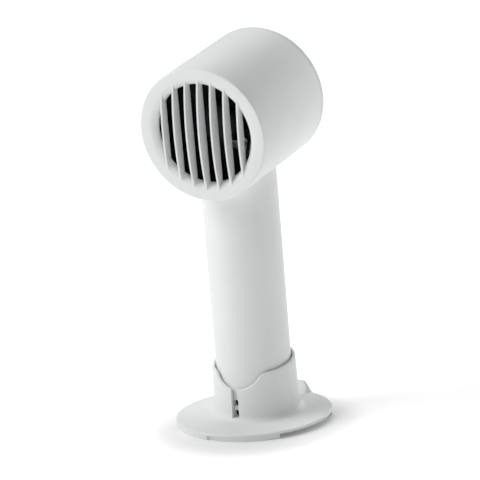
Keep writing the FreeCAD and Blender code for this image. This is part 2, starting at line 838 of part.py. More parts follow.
def armature_windings():
    """A coil round each pole."""
    coils = []
    for bearing in POLES:
        coil = turned(box(2.2, 4.8, 10.4, 4.8, 0, "can_front + 2.3"), bearing)
        pole = turned(box(4, 2.1, 8.2, 4.8, 0, "can_front + 3.4"), bearing)
        coils.append(cut(coil, pole))
    return fuse(*coils)


def commutator():
    return tube(2.2, "shaft_radius + 0.01", 3.2, "can_front + 13.2")


def motor_end_cap():
    plate = cylinder("can_radius - 0.05", 1.4, z=CAN_END)
    spigot = cylinder("can_radius - 0.85", 1.2, z=f"{CAN_END} - 1.2")
    hole = cylinder(2.42, 6, z=f"{CAN_END} - 3")
    slots = [box(0.7, 2.6, 6, x, 0, f"{CAN_END} - 3") for x in (6.2, -6.2)]
    return cut(fuse(plate, spigot), hole, *slots)


def motor_brushes():
    return fuse(*[box(0.3, 1.6, 2.0, x, 0, f"{CAN_END} - 3.4") for x in (2.4, -2.4)],
                *[box(3.7, 1.6, 0.3, x, 0, f"{CAN_END} - 1.55") for x in (4.1, -4.1)])


def motor_terminals():
    return fuse(*[box(0.5, 2.4, 4.4, x, 0, f"{CAN_END} - 1.25") for x in (6.2, -6.2)])


def motor_screws():
    seat = size("can_front") - 1.4
    under = Rotation(Vector(1, 0, 0), 180)
    return fuse(*[moved(screw(0.95, 1.8, 2.2, 0.9), x, 0, seat, under) for x in (6.5, -6.5)])


def screw_holes_in_can(can):
    holes = [cylinder(1.0, 4, x, 0, "can_front - 1") for x in (6.5, -6.5)]
    return cut(can, *holes)


node(screw_holes_in_can(motor_can()), "motor_can", HEAD)
for maker in (motor_magnets, motor_bushes, motor_shaft, armature_core, armature_windings,
              commutator, motor_end_cap, motor_brushes, motor_terminals, motor_screws):
    node(maker(), maker.__name__, HEAD)


# ---------------------------------------------------------------------------------- the leads
def lead(points, radius):
    """A wire along straight runs joined by tangent arcs, as large as the runs allow."""
    edges = []
    here = points[0]
    for index in range(1, len(points) - 1):
        before, corner, after = points[index - 1], points[index], points[index + 1]
        into = (corner - before).normalize()
        out = (after - corner).normalize()
        turn = into.getAngle(out)
        shorter = min((corner - before).Length, (after - corner).Length)
        bend = 0.45 * shorter / math.tan(turn / 2)
        back = 0.45 * shorter
        start, finish = corner - into * back, corner + out * back
        centre = start + ((out - into * into.dot(out)).normalize()) * bend
        middle = centre + (corner - centre).normalize() * bend
        edges.append(Part.LineSegment(here, start).toShape())
        edges.append(Part.Arc(start, middle, finish).toShape())
        here = finish
    edges.append(Part.LineSegment(here, points[-1]).toShape())
    path = Part.Wire(edges)
    section = Part.Wire([Part.Circle(points[0], (points[1] - points[0]).normalize(), radius).toShape()])
    solid = path.makePipeShell([section], True, False)
    slack = abs(solid.Volume - path.Length * math.pi * radius**2) / solid.Volume
    if slack > 0.01:
        raise RuntimeError(f"a lead's volume is off by {slack:.3f}")
    return shaped(solid)


def in_head(x, y, z):
    """A point given as right, down, rear in the head, in the handle's frame."""
    return HEAD_IN_HANDLE.multVec(Vector(x, y, z))


WIRE = 0.65
rear_of_terminal = size("can_front") + size("can_length") + 3.15
top_of_board = size("board_top")
for label, side in (("motor_lead_red", 1), ("motor_lead_black", -1)):
    route = [
        in_head(6.2 * side, 0, rear_of_terminal + WIRE),
        in_head(6.4 * side, 6.5, rear_of_terminal + 1.9),
        in_head(5.2 * side, 15.5, rear_of_terminal + 0.9),
        in_head(3.6 * side, 23.0, rear_of_terminal - 3.9),
        in_head(3.0 * side, 26.3, 7.5),
        Vector(2.8 * side, 4.0, 108.0),
        Vector(2.8 * side, 3.2, 101.5),
        Vector(3.2 * side, 5.6, 96.9),
        Vector(4.0 * side, size("board_back") + 0.4, top_of_board + WIRE),
    ]
    node(lead(route, WIRE), label, HANDLE)


# ---------------------------------------------------------------------------------- checks
doc.recompute()
broken = [obj.Name for obj in doc.Objects if "Invalid" in obj.State or "Error" in obj.State]
if broken:
    raise RuntimeError("these objects failed: " + ", ".join(broken))
for obj in NODES:
    shape = obj.Shape
    if shape.isNull() or not shape.isValid() or not shape.Solids:
        raise RuntimeError(f"{obj.Label} has no valid solid")
for obj in NODES:
    obj.Shape.exportStep(os.path.join("parts", obj.Label + ".step"))
    bounds = obj.Shape.BoundBox
    print(f"{obj.Label:20s} solids {len(obj.Shape.Solids)}  volume {obj.Shape.Volume:9.1f}"
          f"  z {bounds.ZMin:7.2f} to {bounds.ZMax:7.2f}")
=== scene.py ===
"""Looks for the handheld fan in its desk stand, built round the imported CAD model.

Lengths are in metres, most of them written as a number of millimetres times MM.
The row frame stands on the ground under the round plate, with +Z up, and the air blows to -Y.
Three more frames are used, as in the CAD source:
  HANDLE  the row frame, moved to the handle's axis
  HEAD    on the fan's spin axis: +Z to the rear, +X right, +Y down
  GRILLE  HEAD, with the slight turn of the bezel and its vanes
"""

import json
import math

import bmesh
import bpy
from mathutils import Matrix, Vector


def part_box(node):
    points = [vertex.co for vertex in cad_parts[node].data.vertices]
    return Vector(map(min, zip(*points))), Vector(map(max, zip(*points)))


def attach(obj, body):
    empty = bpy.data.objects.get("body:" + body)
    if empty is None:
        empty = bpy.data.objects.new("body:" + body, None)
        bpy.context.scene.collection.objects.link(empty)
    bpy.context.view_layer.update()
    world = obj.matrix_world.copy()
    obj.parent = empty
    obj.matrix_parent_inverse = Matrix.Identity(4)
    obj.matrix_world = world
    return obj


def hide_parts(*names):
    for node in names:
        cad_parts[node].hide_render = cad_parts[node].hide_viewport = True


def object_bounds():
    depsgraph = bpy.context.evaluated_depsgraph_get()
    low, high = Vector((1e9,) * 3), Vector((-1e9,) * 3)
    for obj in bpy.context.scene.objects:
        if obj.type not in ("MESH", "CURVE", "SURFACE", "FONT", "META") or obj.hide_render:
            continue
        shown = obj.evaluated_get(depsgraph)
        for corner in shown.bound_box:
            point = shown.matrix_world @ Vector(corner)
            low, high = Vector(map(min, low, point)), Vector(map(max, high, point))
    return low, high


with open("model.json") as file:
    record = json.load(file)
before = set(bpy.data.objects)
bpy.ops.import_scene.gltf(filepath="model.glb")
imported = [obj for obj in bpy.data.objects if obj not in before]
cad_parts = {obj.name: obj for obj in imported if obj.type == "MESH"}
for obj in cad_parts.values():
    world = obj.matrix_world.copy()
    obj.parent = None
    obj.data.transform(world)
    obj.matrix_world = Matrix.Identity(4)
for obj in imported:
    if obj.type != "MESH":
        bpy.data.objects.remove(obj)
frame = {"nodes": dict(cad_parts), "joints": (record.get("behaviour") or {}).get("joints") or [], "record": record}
cad_low, cad_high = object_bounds()

MM = 0.001
FULL_TURN = 2 * math.pi


# ------------------------------------------------------------------------------ frames and sizes
def handle_frame():
    """The foot plug is turned on the handle's axis, so its box is centred there."""
    low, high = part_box("foot_cap")
    return Matrix.Translation(((low.x + high.x) / 2, (low.y + high.y) / 2, 0))


def head_frame():
    joint = next(j for j in frame["joints"] if j["name"] == "fan_spin")
    rear = Vector(joint["axis"]).normalized()
    right = Vector((1, 0, 0))
    down = rear.cross(right)
    turn = Matrix((right, down, rear)).transposed().to_4x4()
    return Matrix.Translation(joint["pos_m"]) @ turn


def span(node, matrix):
    """The lowest and highest corner of a CAD node, measured in another frame."""
    back = matrix.inverted()
    points = [back @ v.co for v in frame["nodes"][node].data.vertices]
    low = Vector([min(p[i] for p in points) for i in range(3)])
    high = Vector([max(p[i] for p in points) for i in range(3)])
    return low, high


HANDLE = handle_frame()
HEAD = head_frame()


# ------------------------------------------------------------------------------ mesh tools
def softened(corners, steps=5):
    """A closed outline of (x, y, radius) corners, each rounded to its radius."""
    outline = []
    for n, (x, y, radius) in enumerate(corners):
        here = Vector((x, y))
        if radius == 0:
            outline.append(here)
            continue
        into = (Vector(corners[n - 1][:2]) - here).normalized()
        out = (Vector(corners[(n + 1) % len(corners)][:2]) - here).normalized()
        half = into.angle(out) / 2
        centre = here + (into + out).normalized() * radius / math.sin(half)
        first = here + into * radius / math.tan(half) - centre
        last = here + out * radius / math.tan(half) - centre
        sweep = first.angle_signed(last)
        for k in range(steps + 1):
            outline.append(centre + Matrix.Rotation(-sweep * k / steps, 2) @ first)
    return outline


def bow(start, end, bulge, steps=12):
    """Points along an arc from start to end, both included; bulge is its height to the left."""
    start, end = Vector(start), Vector(end)
    chord = end - start
    half = chord.length / 2
    if abs(bulge) < 1e-9:
        return [start, end]
    radius = (half**2 + bulge**2) / (2 * abs(bulge))
    side = math.copysign(1, bulge)
    left = Vector((-chord.y, chord.x)).normalized() * side
    centre = (start + end) / 2 + left * (abs(bulge) - radius)
    first, last = start - centre, end - centre
    sweep = first.angle_signed(last)
    if abs(bulge) > half:
        sweep -= math.copysign(FULL_TURN, sweep)
    return [centre + Matrix.Rotation(-sweep * k / steps, 2) @ first for k in range(steps + 1)]


def piece(name, verts, faces, body, material, slot, sharp=32, weld=True):
    """A finished mesh object that rides on a CAD body."""
    mesh = bpy.data.meshes.new(name)
    mesh.from_pydata([Vector(v) for v in verts], [], faces)
    if weld:
        work = bmesh.new()
        work.from_mesh(mesh)
        bmesh.ops.remove_doubles(work, verts=work.verts, dist=1e-7)
        bmesh.ops.recalc_face_normals(work, faces=work.faces)
        work.to_mesh(mesh)
        work.free()
    obj = bpy.data.objects.new(name, mesh)
    bpy.context.scene.collection.objects.link(obj)
    finish_piece(obj, body, material, sharp)
    return obj


def finish_piece(obj, body, material, sharp=32):
    mesh = obj.data
    mesh.polygons.foreach_set("use_smooth", [True] * len(mesh.polygons))
    mesh.set_sharp_from_angle(angle=math.radians(sharp))
    mesh.materials.clear()
    mesh.materials.append(material)
    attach(obj, body)


def lathe(outline, matrix, steps=192):
    """Vertices and faces of a closed outline of (radius, height) turned about the local Z axis."""
    verts, faces = [], []
    count = len(outline)
    for s in range(steps):
        angle = FULL_TURN * s / steps
        for point in outline:
            spot = Vector((point.x * math.cos(angle), point.x * math.sin(angle), point.y))
            verts.append(matrix @ spot)
    for s in range(steps):
        for k in range(count):
            here, there = s * count, (s + 1) % steps * count
            after = (k + 1) % count
            faces.append((here + k, there + k, there + after, here + after))
    return verts, faces


# ------------------------------------------------------------------------------ materials
def new_material(name):
    material = bpy.data.materials.new(name)
    material.use_nodes = True
    nodes, links = material.node_tree.nodes, material.node_tree.links
    return material, nodes, links, nodes["Principled BSDF"]


def noise(nodes, links, scale, detail=3.0, roughness=0.55, source="Object"):
    where = nodes.new("ShaderNodeTexCoord")
    texture = nodes.new("ShaderNodeTexNoise")
    texture.inputs["Scale"].default_value = scale
    texture.inputs["Detail"].default_value = detail
    texture.inputs["Roughness"].default_value = roughness
    links.new(where.outputs[source], texture.inputs["Vector"])
    return texture


def spread(nodes, links, texture, low, high, start=0.3, end=0.7):
    """Maps a texture's factor onto a range."""
    node = nodes.new("ShaderNodeMapRange")
    node.inputs["From Min"].default_value = start
    node.inputs["From Max"].default_value = end
    node.inputs["To Min"].default_value = low
    node.inputs["To Max"].default_value = high
    links.new(texture.outputs["Fac"], node.inputs["Value"])
    return node


def tint(nodes, links, texture, dark, light):
    ramp = nodes.new("ShaderNodeValToRGB")
    ramp.color_ramp.elements[0].position = 0.32
    ramp.color_ramp.elements[0].color = (*dark, 1)
    ramp.color_ramp.elements[1].position = 0.68
    ramp.color_ramp.elements[1].color = (*light, 1)
    links.new(texture.outputs["Fac"], ramp.inputs["Fac"])
    return ramp


def bumped(nodes, links, shader, texture, strength, depth):
    bump = nodes.new("ShaderNodeBump")
    bump.inputs["Strength"].default_value = strength
    bump.inputs["Distance"].default_value = depth
    links.new(texture.outputs["Fac"], bump.inputs["Height"])
    links.new(bump.outputs["Normal"], shader.inputs["Normal"])
    return bump


def moulded_plastic(name, dark, light, rough, grain=5200, depth=0.006 * MM, shine=0.5):
    """Moulded plastic: a fine spark-eroded grain, slight shifts of tone, and patches of polish."""
    material, nodes, links, shader = new_material(name)
    tone = noise(nodes, links, 38, 4)
    links.new(tint(nodes, links, tone, dark, light).outputs["Color"], shader.inputs["Base Color"])
    polish = noise(nodes, links, 120, 5)
    smooth, coarse = rough
    links.new(spread(nodes, links, polish, smooth, coarse).outputs["Result"],
              shader.inputs["Roughness"])
    bumped(nodes, links, shader, noise(nodes, links, grain, 2), 0.6, depth)
    shader.inputs["IOR"].default_value = 1.53
    shader.inputs["Specular IOR Level"].default_value = shine
    return material


def metal(name, dark, light, rough, brushed=(1, 1, 1), scale=900, depth=0.004 * MM):
    """Bare metal with a drawn or rolled grain, stretched along one axis."""
    material, nodes, links, shader = new_material(name)
    where = nodes.new("ShaderNodeTexCoord")
    stretch = nodes.new("ShaderNodeMapping")
    stretch.inputs["Scale"].default_value = brushed
    links.new(where.outputs["Object"], stretch.inputs["Vector"])
    grain = nodes.new("ShaderNodeTexNoise")
    grain.inputs["Scale"].default_value = scale
    grain.inputs["Detail"].default_value = 4
    links.new(stretch.outputs["Vector"], grain.inputs["Vector"])
    links.new(tint(nodes, links, grain, dark, light).outputs["Color"], shader.inputs["Base Color"])
    links.new(spread(nodes, links, grain, *rough).outputs["Result"], shader.inputs["Roughness"])
    bumped(nodes, links, shader, grain, 0.5, depth)
    shader.inputs["Metallic"].default_value = 1.0
    return material


def clear_plastic(name):
    material, nodes, links, shader = new_material(name)
    haze = noise(nodes, links, 300, 3)
    links.new(spread(nodes, links, haze, 0.12, 0.28).outputs["Result"], shader.inputs["Roughness"])
    shader.inputs["Base Color"].default_value = (0.80, 0.83, 0.84, 1)
    shader.inputs["Transmission Weight"].default_value = 0.55
    shader.inputs["IOR"].default_value = 1.49
    return material


MATERIALS = {
    "white_plastic": moulded_plastic("satin_white_abs", (0.800, 0.812, 0.812), (0.830, 0.842, 0.842),
                                     (0.54, 0.64)),
    "button_plastic": moulded_plastic("key_plastic", (0.60, 0.61, 0.615), (0.64, 0.65, 0.655),
                                      (0.34, 0.44)),
    "black_plastic": moulded_plastic("black_abs", (0.004, 0.004, 0.006), (0.008, 0.008, 0.010),
                                     (0.78, 0.90), 3600, 0.012 * MM, 0.03),
    "blade_plastic": moulded_plastic("blade_plastic", (0.004, 0.005, 0.007), (0.009, 0.010, 0.013),
                                     (0.48, 0.60), 4200, 0.006 * MM, 0.18),
    "foot_rubber": moulded_plastic("foot_rubber", (0.50, 0.51, 0.51), (0.56, 0.57, 0.57),
                                   (0.70, 0.85), 2600, 0.02 * MM),
    "cell_wrap": moulded_plastic("cell_wrap", (0.02, 0.09, 0.28), (0.03, 0.12, 0.34),
                                 (0.22, 0.34), 900, 0.01 * MM),
    "paper_washer": moulded_plastic("washer_card", (0.62, 0.60, 0.54), (0.74, 0.72, 0.66),
                                    (0.80, 0.92), 1800, 0.03 * MM),
    "nickel": metal("nickel_strip", (0.50, 0.47, 0.42), (0.66, 0.62, 0.56), (0.22, 0.38), (1, 8, 1)),
    "board_green": moulded_plastic("solder_mask", (0.004, 0.060, 0.022), (0.008, 0.095, 0.036),
                                   (0.25, 0.38), 1500, 0.02 * MM),
    "chip_black": moulded_plastic("chip_epoxy", (0.012, 0.012, 0.012), (0.022, 0.022, 0.022),
                                  (0.50, 0.62), 3000, 0.012 * MM),
    "lamp_body": clear_plastic("lamp_body"),
    "clear_plastic": clear_plastic("light_pipe_acrylic"),
    "steel": metal("plated_steel", (0.42, 0.43, 0.45), (0.60, 0.61, 0.63), (0.20, 0.36), (6, 1, 1)),
    "magnet": moulded_plastic("ferrite", (0.030, 0.030, 0.033), (0.055, 0.055, 0.060),
                              (0.55, 0.72), 1600, 0.03 * MM),
    "lamination": metal("lamination_steel", (0.18, 0.18, 0.20), (0.30, 0.30, 0.33), (0.35, 0.55),
                        (1, 1, 14)),
    "bronze": metal("sintered_bronze", (0.36, 0.22, 0.10), (0.52, 0.35, 0.18), (0.34, 0.52)),
    "copper": metal("enamelled_copper", (0.42, 0.14, 0.05), (0.60, 0.24, 0.10), (0.22, 0.36),
                    (1, 1, 10)),
    "lead_red": moulded_plastic("lead_red", (0.30, 0.010, 0.008), (0.36, 0.016, 0.012),
                                (0.38, 0.50), 2400, 0.01 * MM),
    "lead_black": moulded_plastic("lead_black", (0.010, 0.010, 0.010), (0.018, 0.018, 0.018),
                                  (0.38, 0.50), 2400, 0.01 * MM),
}
for row in frame["record"]["subparts"]:
    node = frame["nodes"][row["node"]]
    node.data.materials.clear()
    node.data.materials.append(MATERIALS[row["material_slot"]])


# ------------------------------------------------------------------------------ shared sizes
GRIP_FOOT, GRIP_TOP, GRIP_WALL = 16.6 * MM, 16.95 * MM, 1.7 * MM
COLLAR_FOOT, COLLAR_TOP, COLLAR_BORE = 18.95 * MM, 18.3 * MM, 17.15 * MM
HEAD_HEIGHT = (HANDLE.inverted() @ HEAD).translation.z
HEAD_TILT = math.asin(HEAD.col[2].z)
drum_high = span("head_shell", HEAD)[1]
cover_high = span("rear_grille", HEAD)[1]
DRUM_RADIUS = drum_high.x
PLATE_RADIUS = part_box("stand_base")[1].x
COVER_SKIN = DRUM_RADIUS - 1.85 * MM
PLATE_UNDER, PLATE_TOP = 2.0 * MM, 3.2 * MM
SOCKET_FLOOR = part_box("handle_shell")[0].z


def web(columns, closed=True, ends=True):
    """Vertices and faces through columns of points, each column a closed outline."""
    verts = [point for column in columns for point in column]
    count, total = len(columns[0]), len(columns)
    faces = []
    for c in range(total if closed else total - 1):
        here, there = c * count, (c + 1) % total * count
        for k in range(count):
            after = (k + 1) % count
            faces.append((here + k, there + k, there + after, here + after))
    if not closed and ends:
        faces.append(tuple(range(count)))
        faces.append(tuple(range((total - 1) * count, total * count))[::-1])
    return verts, faces


def joined(*parts):
    """One list of vertices and faces from several."""
    verts, faces = [], []
    for more_verts, more_faces in parts:
        start = len(verts)
        verts += more_verts
        faces += [tuple(start + index for index in face) for face in more_faces]
    return verts, faces


def loose(name, verts, faces):
    """A bare object, for use as a cutter or a part of a union."""
    mesh = bpy.data.meshes.new(name)
    mesh.from_pydata([Vector(v) for v in verts], [], faces)
    work = bmesh.new()
    work.from_mesh(mesh)
    bmesh.ops.remove_doubles(work, verts=work.verts, dist=1e-7)
    bmesh.ops.recalc_face_normals(work, faces=work.faces)
    work.to_mesh(mesh)
    work.free()
    obj = bpy.data.objects.new(name, mesh)
    bpy.context.scene.collection.objects.link(obj)
    return obj


def combined(base, tools, operation):
    """Applies an exact boolean of base with each tool, and removes the tools."""
    for tool in tools:
        change = base.modifiers.new("change", "BOOLEAN")
        change.operation = operation
        change.solver = "EXACT"
        change.object = tool
    bpy.context.view_layer.update()
    result = bpy.data.meshes.new_from_object(
        base.evaluated_get(bpy.context.evaluated_depsgraph_get()))
    base.modifiers.clear()
    base.data = result
    for tool in tools:
        bpy.data.objects.remove(tool)
    return base


def eased(obj, width, pick, steps=2):
    """Rounds the sharp edges whose middle pick() accepts."""
    work = bmesh.new()
    work.from_mesh(obj.data)
    bmesh.ops.remove_doubles(work, verts=work.verts, dist=0.004 * MM)
    bmesh.ops.dissolve_degenerate(work, edges=work.edges, dist=0.004 * MM)
    chosen = [edge for edge in work.edges
              if len(edge.link_faces) == 2 and edge.calc_face_angle(0) > math.radians(38)
              and pick((edge.verts[0].co + edge.verts[1].co) / 2)]
    bmesh.ops.bevel(work, geom=chosen, offset=width, segments=steps, profile=0.5,
                    affect="EDGES", clamp_overlap=True)
    work.to_mesh(obj.data)
    work.free()


def prism(outline, matrix, low, high):
    """A closed outline in the local XY plane, from one height to another."""
    return web([[matrix @ Vector((p.x, p.y, z)) for p in outline] for z in (low, high)],
               closed=False)


def rounded_box(width, tall, radius, steps=5):
    half_w, half_t = width / 2, tall / 2
    return softened([(-half_w, -half_t, radius), (half_w, -half_t, radius),
                     (half_w, half_t, radius), (-half_w, half_t, radius)], steps)


def ring_outline(radius, steps=48):
    return [Vector((radius * math.cos(FULL_TURN * n / steps),
                    radius * math.sin(FULL_TURN * n / steps))) for n in range(steps)]


def facing(x, z, matrix=HANDLE, back=True):
    """A frame on the handle's axis at a height, whose Z axis points to the back or the front."""
    turn = Matrix.Rotation(math.radians(-90 if back else 90), 4, "X")
    return matrix @ Matrix.Translation((x, 0, z)) @ turn


# ------------------------------------------------------------------------------ the grip
LAMP_PITCH = 3.6 * MM
EYELETS = (6.35 * MM, 10.95 * MM)


def grip_radius(z):
    share = (z - SOCKET_FLOOR) / (HEAD_HEIGHT - SOCKET_FLOOR)
    return GRIP_FOOT + (GRIP_TOP - GRIP_FOOT) * share


def drum_height(radius, bearing, drum=None):
    """Where an upright line at a radius and bearing of the handle meets the drum from below."""
    x, y = radius * math.sin(bearing), -radius * math.cos(bearing)
    down = math.sqrt((drum or DRUM_RADIUS)**2 - x**2)
    return HEAD_HEIGHT + (y * math.sin(HEAD_TILT) - down) / math.cos(HEAD_TILT)


def grip_shell():
    steps, rows, ease = 240, 10, 0.22 * MM
    columns = []
    for s in range(steps):
        bearing = FULL_TURN * s / steps
        top = drum_height(GRIP_TOP, bearing) - 0.03 * MM
        inner_top = drum_height(GRIP_TOP - GRIP_WALL, bearing) - 0.03 * MM
        foot = SOCKET_FLOOR + 0.01 * MM
        low, high = foot + 0.6 * MM, top - ease
        profile = [(grip_radius(z), z) for z in
                   (low + (high - low) * n / rows for n in range(rows + 1))]
        profile += [(GRIP_TOP - 0.3 * ease, top - 0.3 * ease), (GRIP_TOP - ease, top),
                    (GRIP_TOP - GRIP_WALL, inner_top),
                    (GRIP_FOOT - GRIP_WALL, foot), (GRIP_FOOT - 0.6 * MM, foot),
                    (GRIP_FOOT - 0.18 * MM, foot + 0.18 * MM)]
        columns.append([HANDLE @ Vector((r * math.sin(bearing), -r * math.cos(bearing), z))
                        for r, z in profile])
    grip = loose("grip_shell", *web(columns))
    button_low, button_high = span("power_button", HANDLE)
    lamp_low, lamp_high = span("light_pipe", HANDLE)
    port_low, port_high = span("charge_port", HANDLE)
    button_z = (button_low.z + button_high.z) / 2
    lamp_z = (lamp_low.z + lamp_high.z) / 2
    port_z = (port_low.z + port_high.z) / 2
    near, far = 11 * MM, 20 * MM
    cutters = [loose("button_way", *prism(ring_outline(4.75 * MM, 64), facing(0, button_z), near, far)),
               loose("port_way", *prism(rounded_box(9.5 * MM, 3.7 * MM, 1.84 * MM, 12),
                                        facing(0, port_z), near, far))]
    for n in (-1, 0, 1):
        cutters.append(loose("lamp_way", *prism(ring_outline(0.9 * MM, 32),
                                                facing(n * LAMP_PITCH, lamp_z), near, far)))
    for z in EYELETS:
        cutters.append(loose("eyelet", *prism(rounded_box(5 * MM, 2.7 * MM, 0.7 * MM),
                                              facing(0, z, back=False), near, far)))
    grip = combined(grip, cutters, "DIFFERENCE")

    def at_a_hole(spot):
        local = HANDLE.inverted() @ spot
        return (SOCKET_FLOOR + 1 * MM < local.z < 95 * MM
                and math.hypot(local.x, local.y) > GRIP_FOOT - 0.5 * MM)
    eased(grip, 0.16 * MM, at_a_hole)
    finish_piece(grip, "fan", MATERIALS["white_plastic"])
    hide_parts("handle_shell")


# ------------------------------------------------------------------------------ the head
BEZEL_FACE, BEZEL_EDGE = -29.7 * MM, 1.2 * MM


def drum_shell():
    """The drum between bezel and cover, with fine broken edges at both seams, and its neck."""
    wall, seam = 1.8 * MM, 0.14 * MM
    front, rear = BEZEL_FACE + BEZEL_EDGE, drum_high.z
    outline = softened([
        (DRUM_RADIUS, front, seam), (DRUM_RADIUS, rear, seam),
        (DRUM_RADIUS - wall, rear, 0), (DRUM_RADIUS - wall, front, 0)], 3)
    drum = lathe(outline, HEAD, 256)
    steps, neck, neck_wall, foot = 96, 14.9 * MM, 2.2 * MM, 98 * MM
    columns = []
    for s in range(steps):
        bearing = FULL_TURN * s / steps
        tops = [drum_height(r, bearing, DRUM_RADIUS - 0.9 * MM) for r in (neck, neck - neck_wall)]
        profile = [(neck, foot), (neck, tops[0]), (neck - neck_wall, tops[1]),
                   (neck - neck_wall, foot)]
        columns.append([HANDLE @ Vector((r * math.sin(bearing), -r * math.cos(bearing), z))
                        for r, z in profile])
    shell = piece("drum_shell", *joined(drum, web(columns)), "fan", MATERIALS["white_plastic"],
                  "white_plastic")
    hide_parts("head_shell")


OPENING, MOUTH, BEZEL_WALL = 22.3 * MM, 3.3 * MM, 1.6 * MM
VANE_PITCH, VANE_THICK, VANE_CROWN = 6.1 * MM, 0.8 * MM, 119 * MM
VANE_PROUD, VANE_BACK = 2.7 * MM, 3.6 * MM
GRILLE = HEAD @ Matrix.Rotation(math.radians(3.1), 4, "Z")


def round_the_mouth(size, first=0.0, last=90.0, steps=12):
    """Points that follow the bezel's rounded mouth, deepest first, on an arc about its centre."""
    centre = Vector((OPENING + MOUTH, BEZEL_FACE + MOUTH))
    angles = (math.radians(last + (first - last) * n / steps) for n in range(steps + 1))
    return [centre - size * Vector((math.sin(a), math.cos(a))) for a in angles]


def bezel_ring():
    face, edge = BEZEL_FACE, BEZEL_FACE + BEZEL_EDGE - 0.03 * MM
    skin = COVER_SKIN
    rim = softened([(OPENING + MOUTH + 0.5 * MM, face, 0), (DRUM_RADIUS - 0.01 * MM, face, 0.75 * MM),
                    (DRUM_RADIUS - 0.01 * MM, edge, 0.14 * MM), (skin, edge, 0),
                    (skin, face + 6.5 * MM, 0.3 * MM), (skin - 1.4 * MM, face + 6.5 * MM, 0.3 * MM),
                    (skin - 1.4 * MM, face + BEZEL_WALL, 0.4 * MM)], 6)
    back = round_the_mouth(MOUTH - BEZEL_WALL)[::-1]
    foot = softened([(OPENING + BEZEL_WALL, face + MOUTH, 0),
                     (OPENING + BEZEL_WALL, face + VANE_BACK, 0.1 * MM),
                     (OPENING, face + VANE_BACK, 0.2 * MM), (OPENING, face + MOUTH, 0)], 3)[1:-1]
    return lathe(round_the_mouth(MOUTH, steps=16) + rim + back + foot, GRILLE, 256)


def vane(offset):
    """One upright vane, crowned like a shallow dome; its ends are buried in the bezel's wall."""
    def along(radius):
        return math.sqrt(radius**2 - offset**2)

    def crown(y):
        return BEZEL_FACE - VANE_PROUD + VANE_CROWN - math.sqrt(VANE_CROWN**2 - offset**2 - y**2)

    tip, rows_of_front = along(OPENING + MOUTH + 0.1 * MM), 48
    front = [Vector((y, crown(y))) for y in
             (tip * (2 * n / rows_of_front - 1) for n in range(rows_of_front + 1))]
    end = [Vector((along(p.x), p.y)) for p in round_the_mouth(MOUTH - BEZEL_WALL / 2, 4, 90, 8)[::-1]]
    end.append(Vector((end[-1].x, BEZEL_FACE + VANE_BACK - 0.05 * MM)))
    outline = front + end + [Vector((-p.x, p.y)) for p in reversed(end)]
    work = bmesh.new()
    rows = [[work.verts.new(Vector((offset + side * VANE_THICK / 2, p.x, p.y))) for p in outline]
            for side in (-1, 1)]
    work.faces.new(rows[0])
    work.faces.new(rows[1][::-1])
    count = len(outline)
    for k in range(count):
        after = (k + 1) % count
        work.faces.new((rows[0][k], rows[1][k], rows[1][after], rows[0][after]))
    for edges, size, steps in ((range(rows_of_front), 0.30 * MM, 4),
                               ([rows_of_front + len(end)], 0.15 * MM, 2)):
        picked = [work.edges.get((row[k], row[(k + 1) % count])) for row in rows for k in edges]
        bmesh.ops.bevel(work, geom=picked, offset=size, segments=steps, profile=0.5,
                        affect="EDGES", clamp_overlap=False)
    bmesh.ops.recalc_face_normals(work, faces=work.faces)
    work.verts.index_update()
    verts = [GRILLE @ v.co for v in work.verts]
    faces = [tuple(v.index for v in f.verts) for f in work.faces]
    work.free()
    return verts, faces


def front_grille():
    parts = [bezel_ring()] + [vane(n * VANE_PITCH) for n in range(-3, 4)]
    grille = piece("bezel_and_vanes", *joined(*parts), "fan", MATERIALS["white_plastic"],
                   "white_plastic", weld=False)
    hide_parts("front_grille")


def rear_cover():
    """A rounded rim with rings and spokes between it and a slightly domed boss."""
    rear = cover_high.z
    start = rear - 2.9 * MM
    skin = COVER_SKIN
    rim = softened([(DRUM_RADIUS - 5.2 * MM, start, 0.3 * MM), (skin - 1.25 * MM, start, 0),
                    (skin - 1.25 * MM, start - 3 * MM, 0.2 * MM), (skin, start - 3 * MM, 0.2 * MM),
                    (skin, start + 0.03 * MM, 0), (DRUM_RADIUS, start + 0.03 * MM, 0.14 * MM),
                    (DRUM_RADIUS, rear, 1.35 * MM), (DRUM_RADIUS - 5.2 * MM, rear, 0.5 * MM)], 6)
    inside = rear - 1.8 * MM
    parts = [lathe(rim, HEAD, 256)]
    for radius in (10.5 * MM, 14.2 * MM, 17.9 * MM, 21.6 * MM):
        near, far = radius - 0.7 * MM, radius + 0.7 * MM
        band = softened([(near, inside, 0.2 * MM), (far, inside, 0.2 * MM),
                         (far, rear, 0.45 * MM), (near, rear, 0.45 * MM)], 4)
        parts.append(lathe(band, HEAD, 160))
    boss_radius = 7.4 * MM
    boss = [Vector((0, inside)), Vector((boss_radius, inside))]
    boss += softened([(boss_radius, inside, 0), (boss_radius, rear - 0.2 * MM, 0.5 * MM),
                      (0, rear, 0)], 5)[1:-1]
    boss += [Vector((5 * MM, rear - 0.10 * MM)), Vector((3 * MM, rear - 0.03 * MM)), Vector((0, rear))]
    parts.append(lathe(boss, HEAD, 96))
    half, crest = 0.65 * MM, rear - 0.12 * MM
    bar = softened([(-half, inside, 0.2 * MM), (half, inside, 0.2 * MM),
                    (half, crest, 0.4 * MM), (-half, crest, 0.4 * MM)], 4)
    spokes = 12
    for n in range(spokes):
        turn = HEAD @ Matrix.Rotation(FULL_TURN * n / spokes, 4, "Z")
        columns = [[turn @ Vector((r, p.x, p.y)) for p in bar]
                   for r in (6.6 * MM, DRUM_RADIUS - 4.8 * MM)]
        parts.append(web(columns, closed=False))
    cover = piece("intake_cover", *joined(*parts), "fan", MATERIALS["white_plastic"],
                  "white_plastic", weld=True)
    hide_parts("rear_grille")


